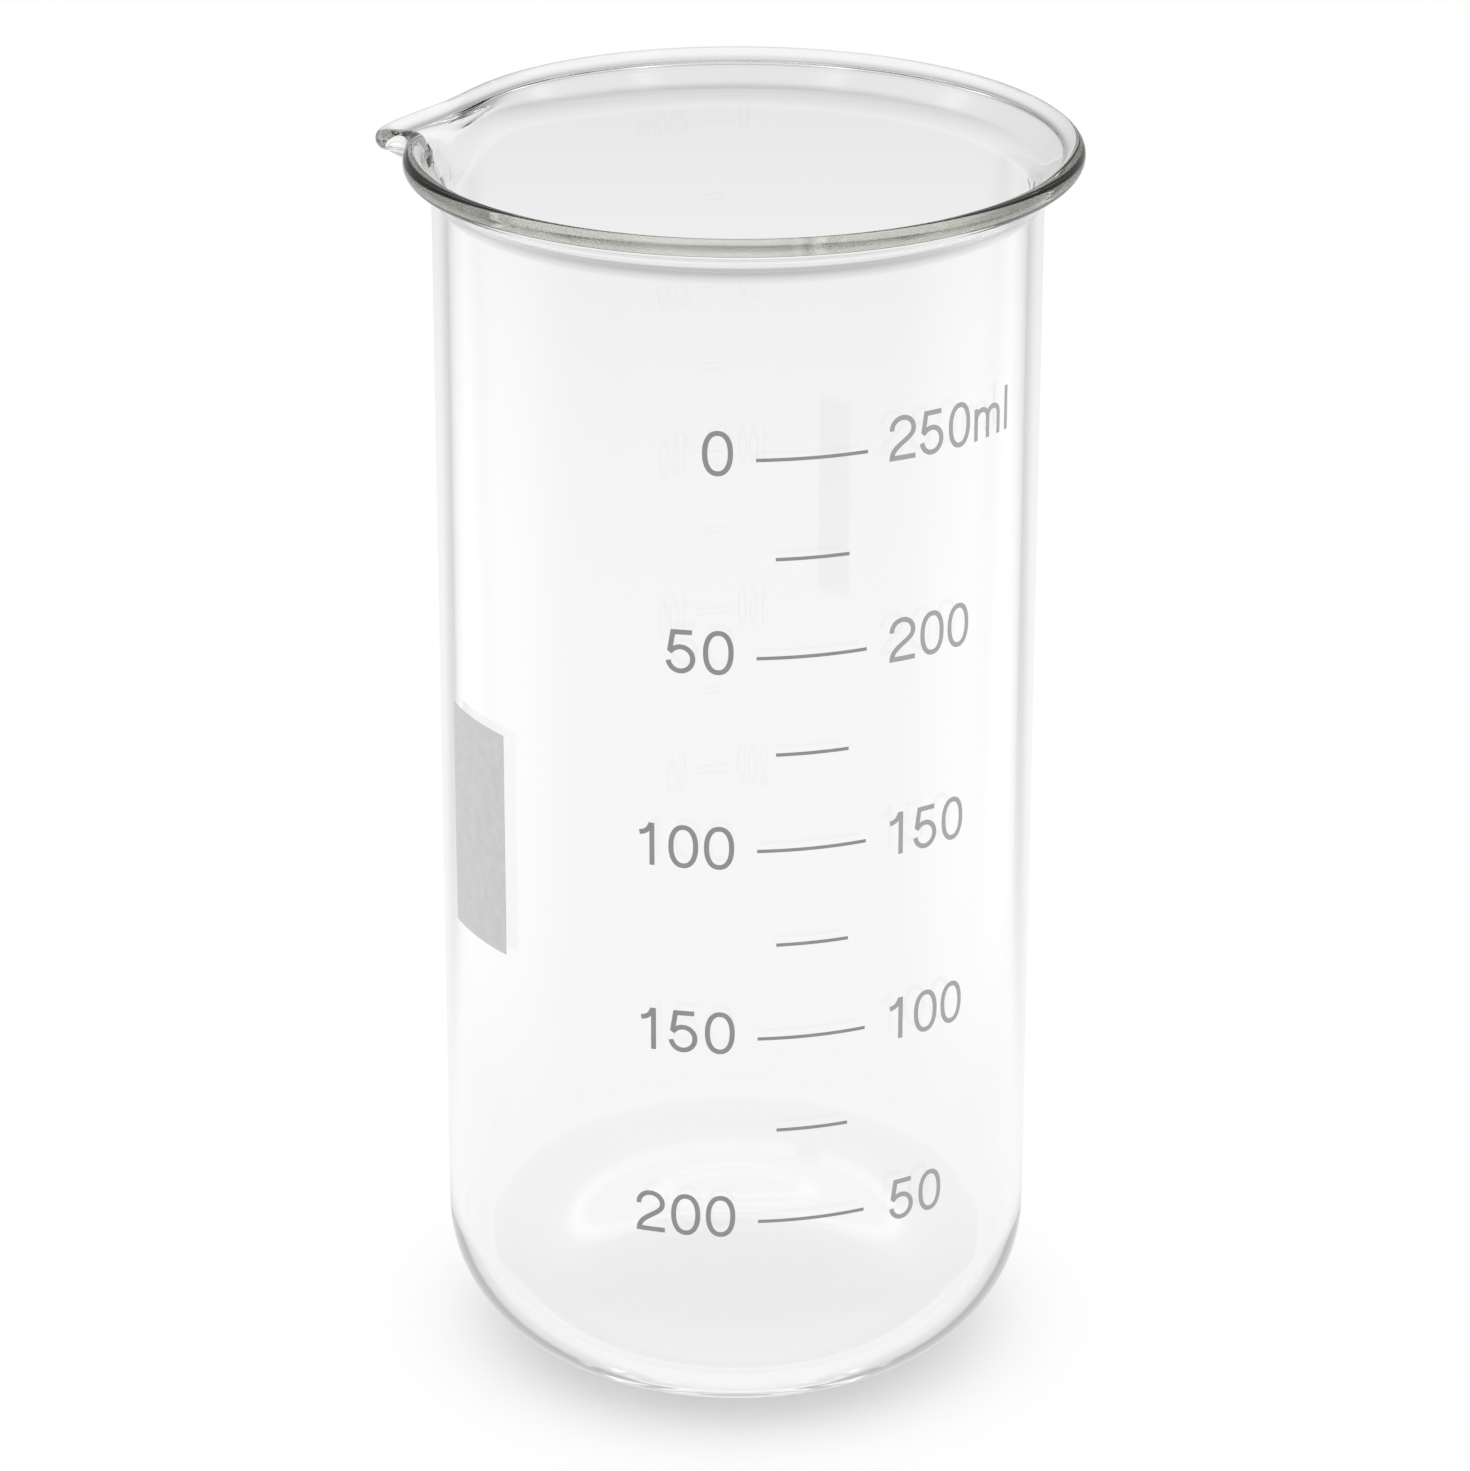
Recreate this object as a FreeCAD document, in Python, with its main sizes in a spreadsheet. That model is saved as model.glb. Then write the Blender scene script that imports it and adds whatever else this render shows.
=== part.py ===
import FreeCAD, Part
import math
import os

import Sketcher

# A tall form laboratory beaker of about 250 ml, drawn from borosilicate glass tube. The tube's wall
# runs straight up from a rounded heel, turns out into a short flare and ends in a fire-polished bead.
# On the -X side the hot rim was pulled out and a little down into a pouring spout. The scale is
# enamel fired on to the outside of the wall. The origin is the centre of the base, with +Z up.

doc = FreeCAD.newDocument("tall_form_beaker")
SHEET = "Sizes"

# Driving dimensions: millimetres and degrees. Angles round the wall count anticlockwise from +X.
sizes = {
    # vessel
    "body_radius": 30.0,
    "wall": 1.55,
    "base_thickness": 2.0,
    "heel_radius": 13.8,
    # flare and bead of the rim
    "lip_height": 127.6,
    "rim_depth": 14.6,
    "lip_overhang": 2.85,
    "lip_lean": 60.0,
    "flare_radius": 2.0,
    "bead_radius": 1.06,
    "bead_blend": 1.0,
    # pulled spout: a narrow pull outwards between two shoulders that sank inwards
    "spout_sector": 66.0,
    "spout_pull": 5.2,
    "spout_spread": 13.5,
    "shoulder_sink": 2.25,
    "shoulder_spread": 24.8,
    "spout_drop": 1.55,
    "drop_spread": 19.4,
    "throat_gain": 6.0,
    # fired enamel: the scale of volumes and a blank field to write on
    "enamel_thickness": 0.05,
    "scale_angle": 299.25,
    "scale_lean": 0.33,
    "first_mark": 25.6,
    "mark_step": 20.1,
    "bar_height": 0.28,
    "long_bar_span": 20.95,
    "short_bar_span": 13.85,
    "field_angle": 225.2,
    "field_span": 20.0,
    "field_bottom": 49.9,
    "field_height": 23.6,
}
LONG_BARS = 5

# Tied sizes: where the rim's sections meet the straight wall, and the radius of the bead's middle.
tied_sizes = {
    "neck_height": "=lip_height - rim_depth",
    "lip_radius": "=body_radius + lip_overhang",
}

sheet = doc.addObject("Spreadsheet::Sheet", SHEET)
for row, (alias, value) in enumerate({**sizes, **tied_sizes}.items(), start=1):
    sheet.set(f"A{row}", alias)
    sheet.set(f"B{row}", str(value))
    sheet.setAlias(f"B{row}", alias)
doc.recompute()


def cell(alias):
    """The sheet's value of one driving dimension."""
    return float(getattr(sheet, alias))


def origin_feature(body, role):
    """The plane or axis of a body's own origin that has this role."""
    return next(item for item in body.Origin.OriginFeatures if item.Role == role)


def new_sketch(body, name, azimuth="0"):
    """A sketch in the upright plane through the body's axis, turned to an azimuth in degrees."""
    sketch = body.newObject("Sketcher::SketchObject", name)
    sketch.AttachmentSupport = [(origin_feature(body, "XZ_Plane"), "")]
    sketch.MapMode = "FlatFace"
    upright = FreeCAD.Vector(0, 1, 0)
    sketch.AttachmentOffset = FreeCAD.Placement(FreeCAD.Vector(), FreeCAD.Rotation(upright, 1.0))
    sketch.setExpression("AttachmentOffset.Rotation.Angle", azimuth)
    return sketch


def bind(sketch, name, constraint, expression):
    """Add one constraint under a name and tie its value to the sheet."""
    index = sketch.addConstraint(constraint)
    sketch.renameConstraint(index, name)
    sketch.setExpression(f"Constraints.{name}", expression)


def segment(start, end):
    """A straight edge between two points (radius, height) of a sketch."""
    return Part.LineSegment(FreeCAD.Vector(*start, 0), FreeCAD.Vector(*end, 0))


def arc(centre, radius, start, end):
    """An anticlockwise arc of a circle, its ends given in degrees."""
    circle = Part.Circle(FreeCAD.Vector(*centre, 0), FreeCAD.Vector(0, 0, 1), radius)
    return Part.ArcOfCircle(circle, math.radians(start), math.radians(end))


def swell(offset, spread):
    """Share of a pull that is left at an angle from the spout's middle, and its expression."""
    share = math.exp(-((offset / cell(spread)) ** 2))
    return share, f"exp(-1 * ({offset} / {SHEET}.{spread})^2)"


def rim_section(body, name, offset, azimuth):
    """One radial section of the rim, at an angle offset from the middle of the spout.

    The outer line runs up the wall, round the flare and along the lip into the bead, and the inner
    line comes back at the wall's thickness. The bead's centre lies on the lip's middle line.
    """
    pull, pull_text = swell(offset, "spout_spread")
    sink, sink_text = swell(offset, "shoulder_spread")
    drop, drop_text = swell(offset, "drop_spread")
    wall, outer = cell("wall"), cell("body_radius")
    inner = outer - wall
    lean = math.radians(cell("lip_lean"))
    bead, blend = cell("bead_radius"), cell("bead_blend")
    flare = cell("flare_radius") + cell("throat_gain") * pull
    reach = cell("lip_radius") + cell("spout_pull") * pull - cell("shoulder_sink") * sink
    height = cell("lip_height") - cell("spout_drop") * drop

    # middle line: from the flare's end along the lip to the bead's centre
    middle = flare + wall / 2
    run = (reach - outer + wall / 2 - middle * (1 - math.cos(lean))) / math.sin(lean)
    turn_height = height - middle * math.sin(lean) - run * math.cos(lean)
    pivot = (outer + flare, turn_height)
    along = (math.sin(lean), math.cos(lean))
    across = (-math.cos(lean), math.sin(lean))

    def at(distance, side):
        """A point by the bead: so far back along the lip, so far to the inner side of its middle."""
        return (reach - distance * along[0] + side * across[0],
                height - distance * along[1] + side * across[1])

    back = math.sqrt((bead + blend) ** 2 - (wall / 2 + blend) ** 2)
    swing = math.degrees(math.atan2(wall / 2 + blend, -back))
    tilt = 90 - cell("lip_lean")
    flare_end = (pivot[0] - flare * math.cos(lean), pivot[1] + flare * math.sin(lean))
    throat_end = (pivot[0] - (flare + wall) * math.cos(lean), pivot[1] + (flare + wall) * math.sin(lean))

    sketch = new_sketch(body, name, azimuth)
    neck = cell("neck_height")
    geometry = [
        segment((outer, neck), (outer, turn_height)),
        arc(pivot, flare, 180 - cell("lip_lean"), 180),
        segment(flare_end, at(back, -wall / 2)),
        arc(at(back, -wall / 2 - blend), blend, tilt - swing + 180, tilt + 90),
        arc((reach, height), bead, tilt - swing, tilt + swing),
        arc(at(back, wall / 2 + blend), blend, tilt - 90, tilt + swing - 180),
        segment(at(back, wall / 2), throat_end),
        arc(pivot, flare + wall, 180 - cell("lip_lean"), 180),
        segment((inner, turn_height), (inner, neck)),
        segment((inner, neck), (outer, neck)),
    ]
    wall_out, flare_out, lip_out, blend_out, bead_arc, blend_in, lip_in, flare_in, wall_in, seat = range(10)
    sketch.addGeometry(geometry, False)
    joins = [
        (wall_out, 2, flare_out, 2),
        (flare_out, 1, lip_out, 1),
        (lip_out, 2, blend_out, 2),
        (blend_out, 1, bead_arc, 1),
        (bead_arc, 2, blend_in, 2),
        (blend_in, 1, lip_in, 1),
        (lip_in, 2, flare_in, 1),
        (flare_in, 2, wall_in, 1),
    ]
    for join in joins:
        sketch.addConstraint(Sketcher.Constraint("Tangent", *join))
    sketch.addConstraint([
        Sketcher.Constraint("Coincident", wall_in, 2, seat, 1),
        Sketcher.Constraint("Coincident", seat, 2, wall_out, 1),
        Sketcher.Constraint("Coincident", flare_out, 3, flare_in, 3),
        Sketcher.Constraint("Vertical", wall_out),
        Sketcher.Constraint("Vertical", wall_in),
        Sketcher.Constraint("Horizontal", seat),
        Sketcher.Constraint("Parallel", lip_out, lip_in),
        Sketcher.Constraint("Equal", blend_out, blend_in),
    ])
    bind(sketch, "outer", Sketcher.Constraint("DistanceX", -1, 1, wall_out, 1, outer), f"{SHEET}.body_radius")
    bind(sketch, "neck", Sketcher.Constraint("DistanceY", -1, 1, wall_out, 1, neck), f"{SHEET}.neck_height")
    bind(sketch, "wall", Sketcher.Constraint("DistanceX", seat, 1, seat, 2, wall), f"{SHEET}.wall")
    bind(sketch, "lean", Sketcher.Constraint("Angle", lip_out, math.radians(tilt)), f"(90 - {SHEET}.lip_lean) * 1 deg")
    bind(sketch, "flare", Sketcher.Constraint("Radius", flare_out, flare),
         f"{SHEET}.flare_radius + {SHEET}.throat_gain * {pull_text}")
    bind(sketch, "reach", Sketcher.Constraint("DistanceX", -1, 1, bead_arc, 3, reach),
         f"{SHEET}.lip_radius + {SHEET}.spout_pull * {pull_text} - {SHEET}.shoulder_sink * {sink_text}")
    bind(sketch, "height", Sketcher.Constraint("DistanceY", -1, 1, bead_arc, 3, height),
         f"{SHEET}.lip_height - {SHEET}.spout_drop * {drop_text}")
    bind(sketch, "bead", Sketcher.Constraint("Radius", bead_arc, bead), f"{SHEET}.bead_radius")
    bind(sketch, "blend", Sketcher.Constraint("Radius", blend_out, blend), f"{SHEET}.bead_blend")
    bind(sketch, "middle", Sketcher.Constraint("Distance", bead_arc, 3, lip_out, wall / 2), f"{SHEET}.wall / 2")
    return sketch


# Glass: one piece. The vessel and the plain part of the rim are turned, the spout is lofted.
glass = doc.addObject("PartDesign::Body", "glass_beaker")
glass.Label = "glass_beaker"


def vessel_section(body):
    """Half section of the vessel below the neck: flat base, round heel and straight wall."""
    outer, wall, floor = cell("body_radius"), cell("wall"), cell("base_thickness")
    heel, neck = cell("heel_radius"), cell("neck_height")
    inner, bend = outer - wall, heel - wall
    sketch = new_sketch(body, "vessel_section")
    sketch.addGeometry([
        segment((0, 0), (outer - heel, 0)),
        arc((outer - heel, heel), heel, 270, 360),
        segment((outer, heel), (outer, neck)),
        segment((outer, neck), (inner, neck)),
        segment((inner, neck), (inner, floor + bend)),
        arc((inner - bend, floor + bend), bend, 270, 360),
        segment((inner - bend, floor), (0, floor)),
        segment((0, floor), (0, 0)),
    ], False)
    under, heel_arc, wall_out, brim, wall_in, bend_arc, floor_line, axis_line = range(8)
    sketch.addConstraint([
        Sketcher.Constraint("Coincident", under, 1, -1, 1),
        Sketcher.Constraint("Tangent", under, 2, heel_arc, 1),
        Sketcher.Constraint("Tangent", heel_arc, 2, wall_out, 1),
        Sketcher.Constraint("Coincident", wall_out, 2, brim, 1),
        Sketcher.Constraint("Coincident", brim, 2, wall_in, 1),
        Sketcher.Constraint("Tangent", wall_in, 2, bend_arc, 2),
        Sketcher.Constraint("Tangent", bend_arc, 1, floor_line, 1),
        Sketcher.Constraint("Coincident", floor_line, 2, axis_line, 1),
        Sketcher.Constraint("Coincident", axis_line, 2, under, 1),
        Sketcher.Constraint("Horizontal", under),
        Sketcher.Constraint("Vertical", wall_out),
        Sketcher.Constraint("Horizontal", brim),
        Sketcher.Constraint("Horizontal", floor_line),
        Sketcher.Constraint("Vertical", axis_line),
    ])
    bind(sketch, "outer", Sketcher.Constraint("DistanceX", -1, 1, wall_out, 2, outer), f"{SHEET}.body_radius")
    bind(sketch, "neck", Sketcher.Constraint("DistanceY", -1, 1, wall_out, 2, neck), f"{SHEET}.neck_height")
    bind(sketch, "wall", Sketcher.Constraint("DistanceX", brim, 2, brim, 1, wall), f"{SHEET}.wall")
    bind(sketch, "heel", Sketcher.Constraint("Radius", heel_arc, heel), f"{SHEET}.heel_radius")
    bind(sketch, "bend", Sketcher.Constraint("Radius", bend_arc, bend), f"{SHEET}.heel_radius - {SHEET}.wall")
    bind(sketch, "floor", Sketcher.Constraint("DistanceY", axis_line, 2, axis_line, 1, floor),
         f"{SHEET}.base_thickness")
    return sketch


vessel = glass.newObject("PartDesign::Revolution", "vessel")
vessel.Profile = vessel_section(glass)
vessel.ReferenceAxis = (origin_feature(glass, "Z_Axis"), [""])
vessel.Angle = 360
doc.recompute()

# Away from the spout the rim is a plain turned ring. It takes the section at the sector's edge,
# so that the spout's two end sections meet it exactly.
plain_rim = glass.newObject("PartDesign::Revolution", "plain_rim")
plain_rim.Profile = rim_section(glass, "plain_rim_section", cell("spout_sector"), "0")
plain_rim.ReferenceAxis = (origin_feature(glass, "Z_Axis"), [""])
plain_rim.Midplane = True
plain_rim.setExpression("Angle", f"360 - 2 * {SHEET}.spout_sector")
doc.recompute()

# Stations of the spout's sections, as shares of its half sector: close together where it turns most.
SHARES = [0, 0.06, 0.12, 0.18, 0.24, 0.31, 0.39, 0.48, 0.6, 0.73, 0.87, 1]
stations = [-share for share in reversed(SHARES[1:])] + SHARES
sections = []
for number, share in enumerate(stations):
    azimuth = f"180 + {share} * {SHEET}.spout_sector"
    offset = share * cell("spout_sector")
    sections.append(rim_section(glass, f"spout_section_{number:02d}", offset, azimuth))
spout = glass.newObject("PartDesign::AdditiveLoft", "spout")
spout.Profile = sections[0]
spout.Sections = sections[1:]
spout.Ruled = False
glass.Tip = spout
doc.recompute()


# Enamel: thin patches on the outside of the wall, each cut out of a disc sector by the wall itself.
wall_core = doc.addObject("Part::Cylinder", "wall_core")
wall_core.setExpression("Radius", f"{SHEET}.body_radius")
wall_core.setExpression("Height", f"{SHEET}.lip_height")


def enamel_patch(name, azimuth, span, bottom, height):
    """A patch of enamel on the wall, between two heights and spread evenly about an azimuth."""
    disc = doc.addObject("Part::Cylinder", f"{name}_sector")
    disc.Placement = FreeCAD.Placement(FreeCAD.Vector(), FreeCAD.Rotation(FreeCAD.Vector(0, 0, 1), 1.0))
    disc.setExpression("Radius", f"{SHEET}.body_radius + {SHEET}.enamel_thickness")
    disc.setExpression("Height", height)
    disc.setExpression("Angle", span)
    disc.setExpression("Placement.Base.z", bottom)
    disc.setExpression("Placement.Rotation.Angle", f"{azimuth} - {span} / 2")
    patch = doc.addObject("Part::Cut", name)
    patch.Base = disc
    patch.Tool = wall_core
    return patch


def graduation_bar(number):
    """One bar of the scale. Even ones are long, and the column leans a little to the left upwards."""
    span = "short_bar_span" if number % 2 else "long_bar_span"
    rise = f"{SHEET}.mark_step * ({number} - {LONG_BARS - 1}) / 2"
    lean = f"{rise} * tan({SHEET}.scale_lean * 1 deg) / {SHEET}.body_radius * 180 / pi"
    level = f"{SHEET}.first_mark + {SHEET}.mark_step * {number} / 2"
    return enamel_patch(f"graduation_bar_{number}", f"{SHEET}.scale_angle - {lean}", f"{SHEET}.{span}",
                        f"{level} - {SHEET}.bar_height / 2", f"{SHEET}.bar_height")


graduation_bars = doc.addObject("Part::Compound", "graduation_bars")
graduation_bars.Label = "graduation_bars"
graduation_bars.Links = [graduation_bar(number) for number in range(2 * LONG_BARS - 1)]

marking_field = enamel_patch("marking_field", f"{SHEET}.field_angle", f"{SHEET}.field_span",
                             f"{SHEET}.field_bottom", f"{SHEET}.field_height")
marking_field.Label = "marking_field"
doc.recompute()

for item in doc.Objects:
    if "Invalid" in item.State or "Error" in item.State:
        raise RuntimeError(f"{item.Name} did not compute: {item.State}")

os.makedirs("parts", exist_ok=True)
for node in (glass, graduation_bars, marking_field):
    if node.Shape.isNull() or not node.Shape.isValid():
        raise RuntimeError(f"{node.Label} has no valid shape")
    node.Shape.exportStep(f"parts/{node.Label}.step")
    print(node.Label, "solids", len(node.Shape.Solids), "volume", round(node.Shape.Volume, 3))
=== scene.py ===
import math

import bpy
import numpy as np
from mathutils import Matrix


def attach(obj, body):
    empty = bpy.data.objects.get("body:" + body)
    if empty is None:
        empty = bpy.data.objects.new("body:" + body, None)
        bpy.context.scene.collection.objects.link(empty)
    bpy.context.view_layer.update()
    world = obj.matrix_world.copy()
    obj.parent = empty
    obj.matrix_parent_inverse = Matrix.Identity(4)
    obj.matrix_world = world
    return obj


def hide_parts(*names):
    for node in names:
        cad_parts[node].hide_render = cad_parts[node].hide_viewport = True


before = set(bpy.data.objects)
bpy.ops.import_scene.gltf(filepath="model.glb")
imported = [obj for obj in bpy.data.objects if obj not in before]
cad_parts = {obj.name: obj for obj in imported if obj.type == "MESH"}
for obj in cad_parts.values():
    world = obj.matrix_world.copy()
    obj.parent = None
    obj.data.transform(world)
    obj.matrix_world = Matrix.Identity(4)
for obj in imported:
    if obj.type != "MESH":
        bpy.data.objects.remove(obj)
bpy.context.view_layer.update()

# Glass vessel.
# One piece of drawn borosilicate tube: flat base, round heel, straight wall and a flared lip whose
# edge was melted back into a bead. The hot rim was pulled into a spout on the -X side.
MM = 0.001
BODY_RADIUS, WALL, BASE = 30.0, 1.55, 2.0
HEEL = 13.8
LIP_HEIGHT, LIP_RADIUS, LIP_LEAN = 127.6, 32.85, math.radians(50)
FLARE, BEAD, BLEND = 2.0, 1.06, 0.7
SPOUT_PULL, SPOUT_SPREAD = 5.1, math.radians(7.4)
THROAT_PULL, THROAT_DROP, THROAT_SPREAD = 3.2, 0.9, math.radians(13.0)
THROAT_GAIN, THROAT_LEAN = 1.5, math.radians(5)
SHOULDER_SINK, SHOULDER_SPREAD = 1.9, math.radians(30.0)
SPOUT_DROP, DROP_SPREAD = 1.6, math.radians(7.2)
NECK = 113.0
COLUMNS, CROWDING = 520, 0.55
FLAT_ROWS, HEEL_ROWS, WALL_ROWS, NECK_ROWS = 9, 40, 2, 4
FLARE_ROWS, LIP_ROWS, BLEND_ROWS, BEAD_ROWS = 14, 6, 7, 30


def arc_rows(centre, radius, start, end, rows):
    """Rows of points (r, z) on an arc: centre + radius * (cos a, sin a), a from start to end."""
    share = np.linspace(0, 1, rows)[:, None]
    angle = start + (end - start) * share
    return centre[0] + radius * np.cos(angle), centre[1] + radius * np.sin(angle)


def line_rows(first, last, rows):
    """Rows of points (r, z) on a straight line: first + share * (last - first), without both ends."""
    share = (np.arange(rows)[:, None] + 1) / (rows + 1)
    return tuple(a + (b - a) * share for a, b in zip(first, last))


def unit(vectors):
    """Vectors divided by their lengths."""
    return vectors / np.linalg.norm(vectors, axis=-1, keepdims=True)


def turned(radius, level, azimuth):
    """Points at a radius and a level, turned round the axis to an azimuth, as one array."""
    radius, level, azimuth = np.broadcast_arrays(radius, level, azimuth)
    return np.stack([radius * np.cos(azimuth), radius * np.sin(azimuth), level], axis=-1)


def round_slope(points):
    """How the points change from column to column, the last column being next to the first."""
    return np.roll(points, -1, axis=-2) - np.roll(points, 1, axis=-2)


def vessel_grid(columns):
    """The vessel's surface as a grid of points, rows along the section and columns round the axis.

    At an angle t from the spout's middle the bead's centre is at radius LIP_RADIUS
    + SPOUT_PULL exp(-(t/SPOUT_SPREAD)^2) - SHOULDER_SINK exp(-(t/SHOULDER_SPREAD)^2) and height
    LIP_HEIGHT - SPOUT_DROP exp(-(t/DROP_SPREAD)^2). Below it the throat is wider: its pull, drop,
    flare radius and lean change with exp(-(t/THROAT_SPREAD)^2). The wall's middle surface is a line,
    an arc and a cubic curve to the bead, and its two faces lie half the wall's thickness to either
    side. The bead and its fillets are one profile carried along the rim, square to it. The columns
    stand closer together at the spout, at t = u - CROWDING sin u for evenly spread u.
    """
    turn = np.linspace(-math.pi, math.pi, columns, endpoint=False)
    turn = turn - CROWDING * np.sin(turn)
    azimuth = turn + math.pi
    pull = np.exp(-(turn / SPOUT_SPREAD) ** 2)
    throat = np.exp(-(turn / THROAT_SPREAD) ** 2)
    shoulder = LIP_RADIUS - SHOULDER_SINK * np.exp(-(turn / SHOULDER_SPREAD) ** 2)
    reach = shoulder + SPOUT_PULL * pull
    height = LIP_HEIGHT - SPOUT_DROP * np.exp(-(turn / DROP_SPREAD) ** 2)

    flare = FLARE + THROAT_GAIN * throat
    lean = LIP_LEAN + THROAT_LEAN * throat
    sin_lean, cos_lean = np.sin(lean), np.cos(lean)
    middle = flare + WALL / 2
    throat_reach, throat_height = shoulder + THROAT_PULL * throat, LIP_HEIGHT - THROAT_DROP * throat
    run = (throat_reach - BODY_RADIUS + WALL / 2 - middle * (1 - cos_lean)) / sin_lean
    turn_height = throat_height - middle * sin_lean - run * cos_lean

    # the rim's own directions: along it, out along the lip, and square to the lip's outer face
    rim = turned(reach, height, azimuth)
    along = unit(round_slope(rim))
    up_lip = turned(sin_lean, cos_lean, azimuth)
    out_lip = unit(up_lip - along * (up_lip * along).sum(axis=-1, keepdims=True))
    out_face = np.cross(along, out_lip)

    def profile(forward, outward):
        """Rows of points by the rim: so far out along the lip and so far to its outer side."""
        return rim + forward[:, None, None] * out_lip + outward[:, None, None] * out_face

    side = WALL / 2 + BLEND
    back = math.sqrt((BEAD + BLEND) ** 2 - side ** 2)
    quarter, swing, slant = math.pi / 2, math.atan2(side, -back), math.atan2(side, back)
    blend_out = np.linspace(-quarter, -slant, BLEND_ROWS)
    blend_in = np.linspace(slant, quarter, BLEND_ROWS)
    bead = np.linspace(swing, -swing, BEAD_ROWS)[1:-1]

    # middle surface from the neck to the bead, with its slope along the section
    turn_angle = lean * np.linspace(0, 1, FLARE_ROWS)[:, None]
    wall_level = NECK + (turn_height - NECK) * np.arange(NECK_ROWS)[:, None] / NECK_ROWS
    flare_rows = turned(BODY_RADIUS + flare - middle * np.cos(turn_angle),
                        turn_height + middle * np.sin(turn_angle), azimuth)
    share = np.linspace(0, 1, LIP_ROWS)[1:, None, None]
    first, last = flare_rows[-1], rim - back * out_lip
    length = np.linalg.norm(last - first, axis=-1, keepdims=True)
    lip_rows = (first * (1 + 2 * share) * (1 - share) ** 2
                + up_lip * length * share * (1 - share) ** 2
                + last * share ** 2 * (3 - 2 * share)
                + out_lip * length * share ** 2 * (share - 1))
    lip_slope = ((last - first) * 6 * share * (1 - share)
                 + up_lip * length * (1 - share) * (1 - 3 * share)
                 + out_lip * length * share * (3 * share - 2))
    wall_rows = turned(BODY_RADIUS - WALL / 2, wall_level, azimuth)
    surface = np.concatenate([wall_rows, flare_rows, lip_rows])
    slope = np.concatenate([turned(0 * wall_level, 1.0, azimuth),
                            turned(np.sin(turn_angle), np.cos(turn_angle), azimuth), lip_slope])
    face = unit(np.cross(round_slope(surface), slope)) * WALL / 2
    outer_face, inner_face = surface + face, (surface - face)[::-1]

    inner, bend = BODY_RADIUS - WALL, HEEL - WALL
    heel_centre, bend_centre = (BODY_RADIUS - HEEL, HEEL), (inner - bend, BASE + bend)
    parts = [
        turned(*line_rows((0, 0), (BODY_RADIUS - HEEL, 0), FLAT_ROWS), azimuth),
        turned(*arc_rows(heel_centre, HEEL, -quarter, 0, HEEL_ROWS), azimuth),
        turned(*line_rows((BODY_RADIUS, HEEL), (BODY_RADIUS, NECK), WALL_ROWS), azimuth),
        outer_face[:-1],
        profile(-back + BLEND * np.cos(blend_out), side + BLEND * np.sin(blend_out)),
        profile(BEAD * np.cos(bead), BEAD * np.sin(bead)),
        profile(-back + BLEND * np.cos(blend_in), -side + BLEND * np.sin(blend_in)),
        inner_face[1:],
        turned(*line_rows((inner, NECK), (inner, BASE + bend), WALL_ROWS), azimuth),
        turned(*arc_rows(bend_centre, bend, 0, -quarter, HEEL_ROWS), azimuth),
        turned(*line_rows((inner - bend, BASE), (0, BASE), FLAT_ROWS), azimuth),
    ]
    return np.concatenate(parts) * MM


def closed_grid(name, grid, poles):
    """A closed mesh from a grid of rows by columns that runs round its columns.

    Each cell is one face. A fan to the first pole closes the first row, and a fan to the second
    pole closes the last row.
    """
    rows, columns = grid.shape[:2]
    points = grid.reshape(-1, 3)
    low = np.arange(rows - 1)[:, None] * columns
    side = np.arange(columns)[None, :]
    after = (side + 1) % columns
    quads = np.stack([low + side, low + after, low + columns + after, low + columns + side], axis=-1)
    faces = quads.reshape(-1, 4).tolist()
    count = rows * columns
    points = np.concatenate([points, poles])
    ring, following = side[0], after[0]
    faces += np.stack([np.full(columns, count), following, ring], axis=-1).tolist()
    top = (rows - 1) * columns
    faces += np.stack([np.full(columns, count + 1), top + ring, top + following], axis=-1).tolist()
    mesh = bpy.data.meshes.new(name)
    mesh.from_pydata(points, [], faces)
    mesh.shade_smooth()
    piece = bpy.data.objects.new(name, mesh)
    bpy.context.scene.collection.objects.link(piece)
    return piece


class Wire:
    """A shader socket that can be used in Python arithmetic. Each operation adds one Math node."""

    def __init__(self, tree, socket):
        self.tree = tree
        self.socket = socket

    def math(self, operation, *others):
        inputs = dict(enumerate((self,) + others))
        return node(self.tree, "ShaderNodeMath", {"operation": operation}, inputs)

    def __add__(self, other):
        return self.math("ADD", other)

    def __sub__(self, other):
        return self.math("SUBTRACT", other)

    def __rsub__(self, other):
        return (self * -1) + other

    def __mul__(self, other):
        return self.math("MULTIPLY", other)

    def __truediv__(self, other):
        return self.math("DIVIDE", other)

    def __rtruediv__(self, other):
        return self ** -1 * other

    def __pow__(self, other):
        return self.math("POWER", other)

    __radd__ = __add__
    __rmul__ = __mul__


def node(tree, kind, settings=None, inputs=None, output=0):
    """Add a node of one kind, set its settings, then its sockets, and return one output as a Wire."""
    made = tree.nodes.new(kind)
    for key, value in (settings or {}).items():
        setattr(made, key, value)
    for key, value in (inputs or {}).items():
        if isinstance(value, Wire):
            tree.links.new(value.socket, made.inputs[key])
        else:
            made.inputs[key].default_value = value
    return Wire(tree, made.outputs[output]) if len(made.outputs) else None


def new_material(name):
    """A material with an empty node tree, ready for its nodes."""
    material = bpy.data.materials.new(name)
    material.use_nodes = True
    material.node_tree.nodes.clear()
    return material, material.node_tree


GLASS_IOR = 1.473
GLASS_ABSORPTION = (0.50, 0.58, 0.10, 1.0)
GLASS_DENSITY = 0.6

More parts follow.
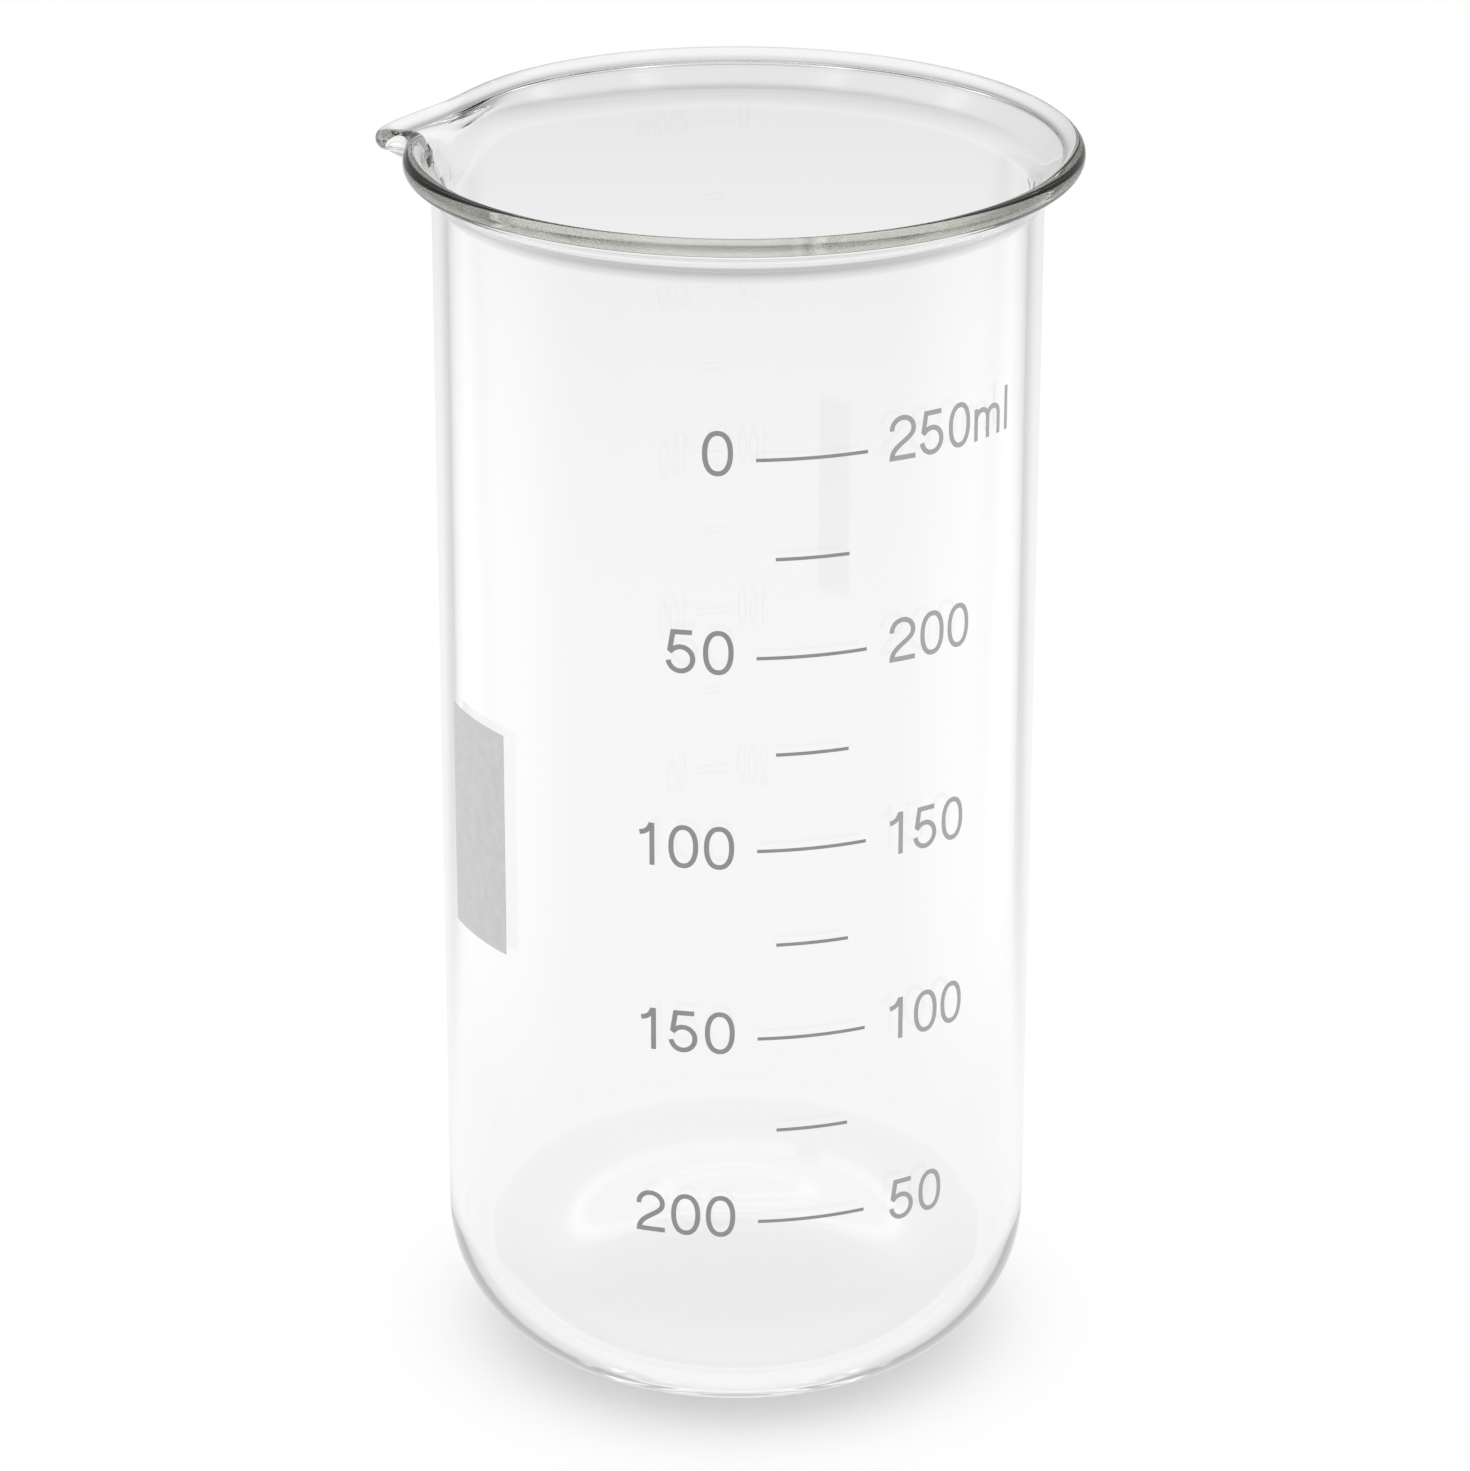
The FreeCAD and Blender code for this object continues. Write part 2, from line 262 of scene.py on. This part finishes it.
glass_material, tree = new_material("clear_borosilicate")
glass_shader = node(tree, "ShaderNodeBsdfPrincipled", inputs={
    "Base Color": (1.0, 1.0, 1.0, 1.0), "Roughness": 0.0, "IOR": GLASS_IOR,
    "Transmission Weight": 1.0})
glass_depth = node(tree, "ShaderNodeVolumeAbsorption", inputs={
    "Color": GLASS_ABSORPTION, "Density": GLASS_DENSITY})
node(tree, "ShaderNodeOutputMaterial", inputs={"Surface": glass_shader, "Volume": glass_depth})

beaker = closed_grid("beaker", vessel_grid(COLUMNS), np.array([(0, 0, 0), (0, 0, BASE * MM)]))
beaker.data.materials.append(glass_material)
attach(beaker, "root")
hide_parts("glass_beaker")

# Fired enamel: scale bars and marking field.
# A screen-printed film, fused to the outside of the wall when the beaker was annealed. The bars
# stand 10 ml per 4 mm of height. On the left is a bare field to write on.
FILM_OUT, FILM_IN = 0.034, 0.004
SCALE_ANGLE, SCALE_LEAN = 299.25, 0.33
FIRST_MARK, MARK_STEP, LONG_BARS = 25.6, 20.1, 5
BAR_HEIGHT, LONG_SPAN, SHORT_SPAN = 0.34, 20.95, 13.85
FIELD_ANGLE, FIELD_SPAN, FIELD_BOTTOM, FIELD_HEIGHT = 225.2, 20.0, 49.9, 23.6
# The enamel is white: these greys are painted shade, deeper on the scale than on the field.
SCALE_GREY_PAINTED_SHADE, FIELD_GREY_PAINTED_SHADE = (0.265, 0.265, 0.262), (0.56, 0.56, 0.56)
SCALE_ROUGHNESS, FIELD_ROUGHNESS = 0.45, 0.5
# PALE is a lighter painted shade, which the scale's print takes on towards +X.
LIGHTER_FROM, PALE, PALE_SHARE = 19.5, (0.58, 0.58, 0.575), 0.3
DRIFT, DRIFT_SCALE, ROUGHNESS_DRIFT = 0.14, 900.0, 0.1
TOOTH_SCALE, TOOTH_DEPTH, TOOTH_STRENGTH = 9000.0, 0.00002, 0.15


def on_wall(arc, level, depth):
    """Points on the wall, at the angle arc / BODY_RADIUS and the radius BODY_RADIUS + depth.

    The arc is the way round in mm from azimuth 0, and the level is the height. Both are arrays.
    """
    angle = arc / BODY_RADIUS
    radius = BODY_RADIUS + depth
    return np.stack([radius * np.cos(angle), radius * np.sin(angle), level + 0 * angle], axis=-1) * MM


def film(left, right, closed=False):
    """A film of enamel between two edges on the wall, each an array of points (arc, level) in mm.

    Across the film stands a section of four corners, inner and outer at both edges. It is carried
    along the edges, and has a cap at each end or, where the film is closed, runs back into its start.
    """
    corners = [on_wall(*left.T, FILM_IN), on_wall(*left.T, FILM_OUT),
               on_wall(*right.T, FILM_OUT), on_wall(*right.T, FILM_IN)]
    grid = np.stack(corners, axis=1)
    rows = len(grid)
    low = np.arange(rows if closed else rows - 1)[:, None] * 4
    high = (low + 4) % (4 * rows)
    side = np.arange(4)[None, :]
    after = (side + 1) % 4
    quads = np.stack([low + side, low + after, high + after, high + side], axis=-1).reshape(-1, 4)
    last = (rows - 1) * 4
    if not closed:
        quads = np.concatenate([quads, [[3, 2, 1, 0], [last, last + 1, last + 2, last + 3]]])
    return grid.reshape(-1, 3), quads


def film_piece(name, films):
    """One piece from several films, the faces of each counted on from the points before it."""
    points, faces = zip(*films)
    starts = np.cumsum([0] + [len(part) for part in points])
    mesh = bpy.data.meshes.new(name)
    mesh.from_pydata(np.concatenate(points), [],
                     np.concatenate([part + start for part, start in zip(faces, starts)]).tolist())
    piece = bpy.data.objects.new(name, mesh)
    bpy.context.scene.collection.objects.link(piece)
    return piece


def band(azimuth, span, bottom, height, rows=40):
    """A level film of one height on the wall, spread evenly about an azimuth in degrees."""
    arc = np.radians(azimuth + np.linspace(-span / 2, span / 2, rows)) * BODY_RADIUS
    lower = np.stack([arc, np.full(rows, bottom)], axis=-1)
    upper = np.stack([arc, np.full(rows, bottom + height)], axis=-1)
    return film(upper, lower)


def enamel(name, colour, roughness, lighter_from):
    """Matt fired enamel: its tone drifts a little where the print is thinner, over a fine tooth.

    From a distance along X, given in metres as the last argument, the painted shade of the whole
    print is lighter: its colour goes PALE_SHARE of the way to PALE. The colour given is white enamel
    with painted shade in it.
    """
    material, tree = new_material(name)
    place = node(tree, "ShaderNodeTexCoord", output=3)
    east = node(tree, "ShaderNodeSeparateXYZ", inputs={0: place}, output=0)
    lighter_share = node(tree, "ShaderNodeMapRange", inputs={0: east, 1: lighter_from, 2: lighter_from + MM})
    drift, tooth = (
        node(tree, "ShaderNodeTexNoise", inputs={"Vector": place, "Scale": scale, "Detail": detail})
        for scale, detail in ((DRIFT_SCALE, 3.0), (TOOTH_SCALE, 2.0)))
    tone = node(tree, "ShaderNodeMix", {"data_type": "RGBA"}, {
        0: drift, 6: tuple((1 - DRIFT) * part for part in colour) + (1.0,),
        7: tuple((1 + DRIFT) * part for part in colour) + (1.0,)}, output=2)
    tone = node(tree, "ShaderNodeMix", {"data_type": "RGBA"}, {
        0: PALE_SHARE * lighter_share, 6: tone, 7: PALE + (1.0,)}, output=2)
    grain = node(tree, "ShaderNodeBump", inputs={
        "Strength": TOOTH_STRENGTH, "Distance": TOOTH_DEPTH, "Height": tooth})
    shader = node(tree, "ShaderNodeBsdfPrincipled", inputs={
        "Base Color": tone, "Roughness": roughness + ROUGHNESS_DRIFT * drift, "Normal": grain})
    node(tree, "ShaderNodeOutputMaterial", inputs={"Surface": shader})
    return material


# The greys given here are painted shade on white enamel.
scale_enamel = enamel("scale_enamel", SCALE_GREY_PAINTED_SHADE, SCALE_ROUGHNESS, LIGHTER_FROM * MM)
field_enamel = enamel("field_enamel", FIELD_GREY_PAINTED_SHADE, FIELD_ROUGHNESS, BODY_RADIUS * MM)

bars = []
for number in range(2 * LONG_BARS - 1):
    rise = MARK_STEP * (number - LONG_BARS + 1) / 2
    lean = math.degrees(rise * math.tan(math.radians(SCALE_LEAN)) / BODY_RADIUS)
    span = SHORT_SPAN if number % 2 else LONG_SPAN
    level = FIRST_MARK + MARK_STEP * number / 2
    bars.append(band(SCALE_ANGLE - lean, span, level - BAR_HEIGHT / 2, BAR_HEIGHT))
scale_bars = film_piece("scale_bars", bars)
scale_bars.data.materials.append(scale_enamel)
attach(scale_bars, "root")
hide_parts("graduation_bars")

blank_field = film_piece("blank_field", [band(FIELD_ANGLE, FIELD_SPAN, FIELD_BOTTOM, FIELD_HEIGHT)])
blank_field.data.materials.append(field_enamel)
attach(blank_field, "root")
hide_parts("marking_field")

# Numbers.
# Plain upright figures of even stroke, printed with the bars in the same enamel. They count the
# volume up on the right and down on the left.
FIGURE_HEIGHT, STROKE, ADVANCE = 4.45, 0.50, 3.5
LEFT_EDGE, LEFT_DRIFT, RIGHT_EDGE, RIGHT_DRIFT = 284.2, 0.17, 313.7, 0.53
LEFT_DROPS, RIGHT_DROPS = (1.55, 1.65, 1.9, 1.6, 1.65), (1.4, 1.9, 2.1, 2.0, 2.05)
RIGHT_SLOPE, MARK_VOLUME = 0.035, 50


def bow(centre, radii, start, end, points=40, power=2.0):
    """Points on a superellipse: radii * |cos a|^(2/power), |sin a|^(2/power) with their signs."""
    angle = np.radians(np.linspace(start, end, points))
    wave = np.stack([np.cos(angle), np.sin(angle)], axis=-1)
    return np.array(centre) + np.array(radii) * np.sign(wave) * np.abs(wave) ** (2 / power)


def bend_line(first, pull_first, pull_last, last, points=24):
    """A cubic Bezier curve from first to last, drawn towards two points in between."""
    t = np.linspace(0, 1, points)[:, None]
    first, pull_first, pull_last, last = (np.array(p) for p in (first, pull_first, pull_last, last))
    return ((1 - t) ** 3 * first + 3 * (1 - t) ** 2 * t * pull_first
            + 3 * (1 - t) * t ** 2 * pull_last + t ** 3 * last)


def stroke(path, width, closed=False):
    """The two edges of a stroke of even width along a path.

    Each point moves half the width to either side, square to the mean of the runs before and after
    it, and farther at a corner, by one over the cosine of half its turn.
    """
    ahead = np.roll(path, -1, axis=0) - path
    ahead /= np.linalg.norm(ahead, axis=1, keepdims=True)
    behind = np.roll(ahead, 1, axis=0)
    if not closed:
        ahead[-1] = ahead[-2]
        behind[0] = ahead[0]
    mean = ahead + behind
    mean /= np.linalg.norm(mean, axis=1, keepdims=True)
    across = np.stack([-mean[:, 1], mean[:, 0]], axis=-1)
    across /= np.maximum((mean * ahead).sum(axis=1, keepdims=True), 0.5)
    return path + across * width / 2, path - across * width / 2


HALF = STROKE / FIGURE_HEIGHT / 2
ZERO = [(bow((0.39, 0.5), (0.33 - HALF, 0.51 - HALF), 90, 450, 64, 2.25)[:-1], True)]
ONE = [(np.array([(0.475, 1.0), (0.475, 0.0)]), False),
       (bend_line((0.19, 0.757), (0.33, 0.775), (0.40, 0.83), (0.455, 0.985)), False)]
TWO = [(np.vstack([bow((0.37, 0.70), (0.33 - HALF, 0.31 - HALF), 186, 0, 36),
                   bend_line((0.70 - HALF, 0.69), (0.70 - HALF, 0.44), (0.11, 0.38),
                             (0.10, HALF))[1:], [(0.70, HALF)]]), False)]
FIVE = [(np.vstack([[(0.61, 1 - HALF), (0.19, 1 - HALF), (0.125, 0.535)],
                    bow((0.355, 0.325), (0.325 - HALF, 0.335 - HALF), 138, -172, 44)]), False)]
EM = [(np.array([(0.15, 0.73), (0.15, 0.0)]), False),
      (np.vstack([bow((0.36, 0.48), (0.21, 0.25 - HALF), 175, 0, 20), [(0.57, 0.0)]]), False),
      (np.vstack([bow((0.78, 0.48), (0.21, 0.25 - HALF), 175, 0, 20), [(0.99, 0.0)]]), False)]
ELL = [(np.array([(0.15, 1.0), (0.15, 0.0)]), False)]
FIGURES = {"0": ZERO, "1": ONE, "2": TWO, "5": FIVE, "m": EM, "l": ELL}
WIDE = {"m": 1.17}


def dense(path, closed, step=0.35):
    """The path with points added at most step mm apart, so that it can follow the wall."""
    ring = np.vstack([path, path[:1]]) if closed else path
    pieces = []
    for first, last in zip(ring[:-1], ring[1:]):
        count = max(1, int(np.ceil(np.linalg.norm(last - first) / step)))
        pieces.append(first + (last - first) * np.arange(count)[:, None] / count)
    if not closed:
        pieces.append(ring[-1:])
    return np.vstack(pieces)


def label(text, edge, level, from_left, slope):
    """The films of one number, whose ink starts or ends at an azimuth, and falls to the right."""
    strokes, cursor = [], 0.0
    for letter in text:
        for path, closed in FIGURES[letter]:
            line = path * FIGURE_HEIGHT + (cursor, 0)
            strokes.append((stroke(dense(line, closed), STROKE, closed), closed))
        cursor += FIGURE_HEIGHT * WIDE[letter] if letter in WIDE else ADVANCE
    ink = np.concatenate([np.concatenate(edges) for edges, _ in strokes])[:, 0]
    start = math.radians(edge) * BODY_RADIUS - (ink.min() if from_left else ink.max())
    return [film(*(line + (start, level) - line[:, :1] * (0, slope) for line in edges), closed)
            for edges, closed in strokes]


numbers = []
for step in range(LONG_BARS):
    level = FIRST_MARK + MARK_STEP * (LONG_BARS - 1 - step)
    down = f"{MARK_VOLUME * step}"
    up = f"{MARK_VOLUME * (LONG_BARS - step)}" + ("ml" if step == 0 else "")
    left_edge, right_edge = LEFT_EDGE + LEFT_DRIFT * step, RIGHT_EDGE + RIGHT_DRIFT * step
    numbers += label(down, left_edge, level - LEFT_DROPS[step], False, 0)
    numbers += label(up, right_edge, level - RIGHT_DROPS[step], True, RIGHT_SLOPE)
scale_numbers = film_piece("scale_numbers", numbers)
scale_numbers.data.materials.append(scale_enamel)
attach(scale_numbers, "root")

# Floor.
# A white sweep that keeps the beaker's soft shadow, which a glow of painted light cuts short away
# from the base.
# What the glass sees of it is painted: painted shade greys it towards its far edge and towards two
# grey flags behind the beaker, and a painted reflection makes the glass mirror it brighter at the
# sides.
FLOOR_RADIUS, FLOOR_DROP = 6.0, 0.00002
# Only a share of the floor near the base takes real light and shadow; the rest is a white glow of
# painted light.
SHADOW_SHARE, SHADOW_START, SHADOW_REACH = 0.66, 0.022, 0.0095
NEAR_TONE, FAR_TONE, FADE_RADIUS = 0.93, 0.46, 0.58
PAINTED_FLAG_SHADE, PAINTED_FLAG_MIDDLE, PAINTED_FLAG_WIDTH = 0.42, 40.0, 10.0
PAINTED_REFLECTION_GAIN, PAINTED_REFLECTION_MIDDLE, PAINTED_REFLECTION_WIDTH = 1.1, 80.0, 32.0
CLEAR_RADIUS, BEHIND = 0.11, math.radians(15)
RING_STEP = 5


def path_shares(tree):
    """Whether a ray has met only glass since the camera, and whether it left it by refraction."""
    path = tree.nodes.new("ShaderNodeLightPath").outputs
    glossy, refracted, bounced = (
        Wire(tree, path[name]) for name in ("Is Glossy Ray", "Is Transmission Ray", "Diffuse Depth"))
    through_glass = (glossy + refracted).math("MINIMUM", 1.0) * bounced.math("LESS_THAN", 0.5)
    return through_glass, refracted


floor_mesh = bpy.data.meshes.new("floor")
corner = np.radians(np.arange(0, 360, RING_STEP))
rim = FLOOR_RADIUS * np.stack([np.cos(corner), np.sin(corner), 0 * corner], axis=-1)
floor_mesh.from_pydata(rim - (0, 0, FLOOR_DROP), [], [list(range(len(rim)))])
floor = bpy.data.objects.new("floor", floor_mesh)
bpy.context.scene.collection.objects.link(floor)
floor_material, tree = new_material("white_sweep")
place = node(tree, "ShaderNodeTexCoord", output=3)
east = node(tree, "ShaderNodeSeparateXYZ", inputs={0: place}, output=0)
north = node(tree, "ShaderNodeSeparateXYZ", inputs={0: place}, output=1)
distance = (east * east + north * north) ** 0.5
# Painted shade, seen only through the glass: the floor greys with distance.
far_share = 1 - 1 / ((distance / FADE_RADIUS) ** 4 + 1)
painted_fade = NEAR_TONE + (FAR_TONE - NEAR_TONE) * far_share
through_glass, refracted = path_shares(tree)
# Two painted shade flags either side behind the beaker, and a painted reflection brighter at the
# sides, both seen only through the glass and kept clear of the base.
behind = (north * math.cos(BEHIND) - east * math.sin(BEHIND)) / (distance + 0.1 * MM)
aside = behind.math("MINIMUM", 1.0).math("MAXIMUM", -1.0).math("ARCCOSINE") * math.degrees(1)
clear = 1 - 1 / ((distance / CLEAR_RADIUS) ** 4 + 1)
painted_flag = (0 - ((aside - PAINTED_FLAG_MIDDLE) / PAINTED_FLAG_WIDTH) ** 2).math("EXPONENT") * refracted
painted_reflection = (0 - ((aside - PAINTED_REFLECTION_MIDDLE) / PAINTED_REFLECTION_WIDTH) ** 4).math("EXPONENT") * (1 - refracted)
glass_tone = painted_fade + clear * (PAINTED_REFLECTION_GAIN * painted_reflection - PAINTED_FLAG_SHADE * painted_flag * painted_fade)
# Painted light: beyond the shadow's start the floor's glow grows and cuts the real shadow short.
beyond = (distance - SHADOW_START).math("MAXIMUM", 0.0) / SHADOW_REACH
lit_share = SHADOW_SHARE * (0 - beyond * beyond).math("EXPONENT")
lit = node(tree, "ShaderNodeBsdfDiffuse", inputs={"Color": (1.0, 1.0, 1.0, 1.0)})
glow = node(tree, "ShaderNodeEmission", inputs={"Color": (1.0, 1.0, 1.0, 1.0), "Strength": 1.0})
both = node(tree, "ShaderNodeMixShader", inputs={0: lit_share, 1: glow, 2: lit})
# The glass sees this painted tone in place of the lit floor.
seen = node(tree, "ShaderNodeEmission", inputs={"Color": glass_tone, "Strength": 1.0})
surface = node(tree, "ShaderNodeMixShader", inputs={0: through_glass, 1: both, 2: seen})
node(tree, "ShaderNodeOutputMaterial", inputs={"Surface": surface})
floor.data.materials.append(floor_material)

# Light.
# An even white studio lights everything. What the glass alone shows of it is painted: painted shade,
# darker above the horizon and light again overhead, with two narrow bright strips round the ceiling
# that are painted highlights and light nothing.
HORIZON_TONE, WALL_TONE, CEILING_TONE = 0.50, 0.36, 0.85
WALL_FROM, CEILING_FROM, CEILING_FULL = 0.25, 0.52, 0.86
STRIP_GAIN, STRIPS = 0.8, ((0.738, 0.035), (0.95, 0.014))
BOUNCES = 96

world = bpy.data.worlds.new("studio")
bpy.context.scene.world = world
world.use_nodes = True
tree = world.node_tree
tree.nodes.clear()
through_glass, _ = path_shares(tree)
direction = node(tree, "ShaderNodeTexCoord", output=0)
upward = node(tree, "ShaderNodeSeparateXYZ", inputs={0: direction}, output=2)
# Painted shade, seen only in the glass.
lower = node(tree, "ShaderNodeMapRange", {"interpolation_type": "SMOOTHSTEP"}, {
    0: upward, 1: 0.0, 2: WALL_FROM, 3: HORIZON_TONE, 4: WALL_TONE})
upper = node(tree, "ShaderNodeMapRange", {"interpolation_type": "SMOOTHSTEP"}, {
    0: upward, 1: CEILING_FROM, 2: CEILING_FULL, 3: 0.0, 4: CEILING_TONE - WALL_TONE})
# Painted highlights, seen only in the glass.
strips = sum((STRIP_GAIN * (0 - ((upward - middle) / width) ** 2).math("EXPONENT")
              for middle, width in STRIPS), 0.0)
studio_tone = 1 + through_glass * (lower + upper + strips - 1)
sky = node(tree, "ShaderNodeBackground", inputs={"Color": studio_tone, "Strength": 1.0})
node(tree, "ShaderNodeOutputWorld", inputs={"Surface": sky})
cycles = bpy.context.scene.cycles
cycles.max_bounces = cycles.transmission_bounces = cycles.glossy_bounces = BOUNCES

# Camera.
# The photograph's own view, from above and to the right of the spout.
VIEW_AZIMUTH, VIEW_ELEVATION, VIEW_ROLL = (math.radians(angle) for angle in (15.0, 22.438, 0.112))
VIEW_DISTANCE, VIEW_AIM = 0.58334, np.array([-0.00018, -0.00005, 0.06559])
FOCAL_LENGTH = 140.32

forward = np.array([-math.sin(VIEW_AZIMUTH) * math.cos(VIEW_ELEVATION),
                    math.cos(VIEW_AZIMUTH) * math.cos(VIEW_ELEVATION), -math.sin(VIEW_ELEVATION)])
level_right = np.array([math.cos(VIEW_AZIMUTH), math.sin(VIEW_AZIMUTH), 0.0])
level_up = np.cross(level_right, forward)
right = math.cos(VIEW_ROLL) * level_right + math.sin(VIEW_ROLL) * level_up
upright = np.cross(right, forward)
lens = bpy.data.cameras.new("camera")
lens.lens = FOCAL_LENGTH
lens.sensor_width = 36.0
lens.clip_start = 0.01
camera = bpy.data.objects.new("camera", lens)
bpy.context.scene.collection.objects.link(camera)
pose = np.eye(4)
pose[:3, :4] = np.stack([right, upright, -forward, VIEW_AIM - VIEW_DISTANCE * forward], axis=-1)
camera.matrix_world = pose.T.tolist()
bpy.context.scene.camera = camera
bpy.context.scene.view_settings.view_transform = "Standard"
